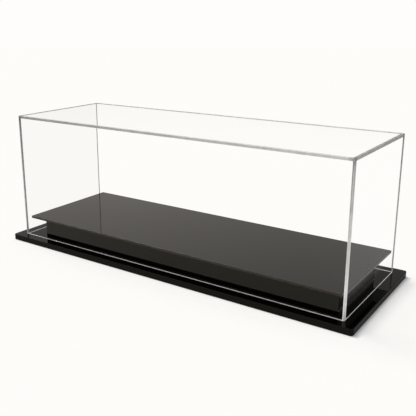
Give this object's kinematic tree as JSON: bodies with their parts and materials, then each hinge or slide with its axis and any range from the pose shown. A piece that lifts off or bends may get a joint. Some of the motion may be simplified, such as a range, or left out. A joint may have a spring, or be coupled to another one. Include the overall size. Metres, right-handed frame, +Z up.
{
  "type": "display case",
  "caption": "Long clear acrylic display case for a row of mini helmets: a lift-off box cover on a wider gloss black base plate, over a low black riser shelf.",
  "frame": {"origin": "centre of the base plate's underside, on the surface that the case stands on", "axes": "+X along the case's length, +Y to its back, +Z up"},
  "size_m": [0.517, 0.1864, 0.1827],
  "materials": {
    "black_acrylic_base": "polished",
    "black_acrylic_riser": "polished",
    "black_acrylic_shelf": "polished",
    "clear_acrylic": "polished"
  },
  "bodies": {
    "stand": {"base_plate": "black_acrylic_base", "riser_front_wall": "black_acrylic_riser", "riser_back_wall": "black_acrylic_riser", "riser_left_wall": "black_acrylic_riser", "riser_right_wall": "black_acrylic_riser", "riser_top_plate": "black_acrylic_shelf"},
    "cover": {"cover_front_panel": "clear_acrylic", "cover_back_panel": "clear_acrylic", "cover_left_panel": "clear_acrylic", "cover_right_panel": "clear_acrylic", "cover_top_panel": "clear_acrylic"}
  },
  "joints": [
    {"name": "cover_lift", "type": "slide", "parent": "stand", "child": "cover", "axis": [0, 0, 1], "range_m": [0, 0.18]}
  ]
}
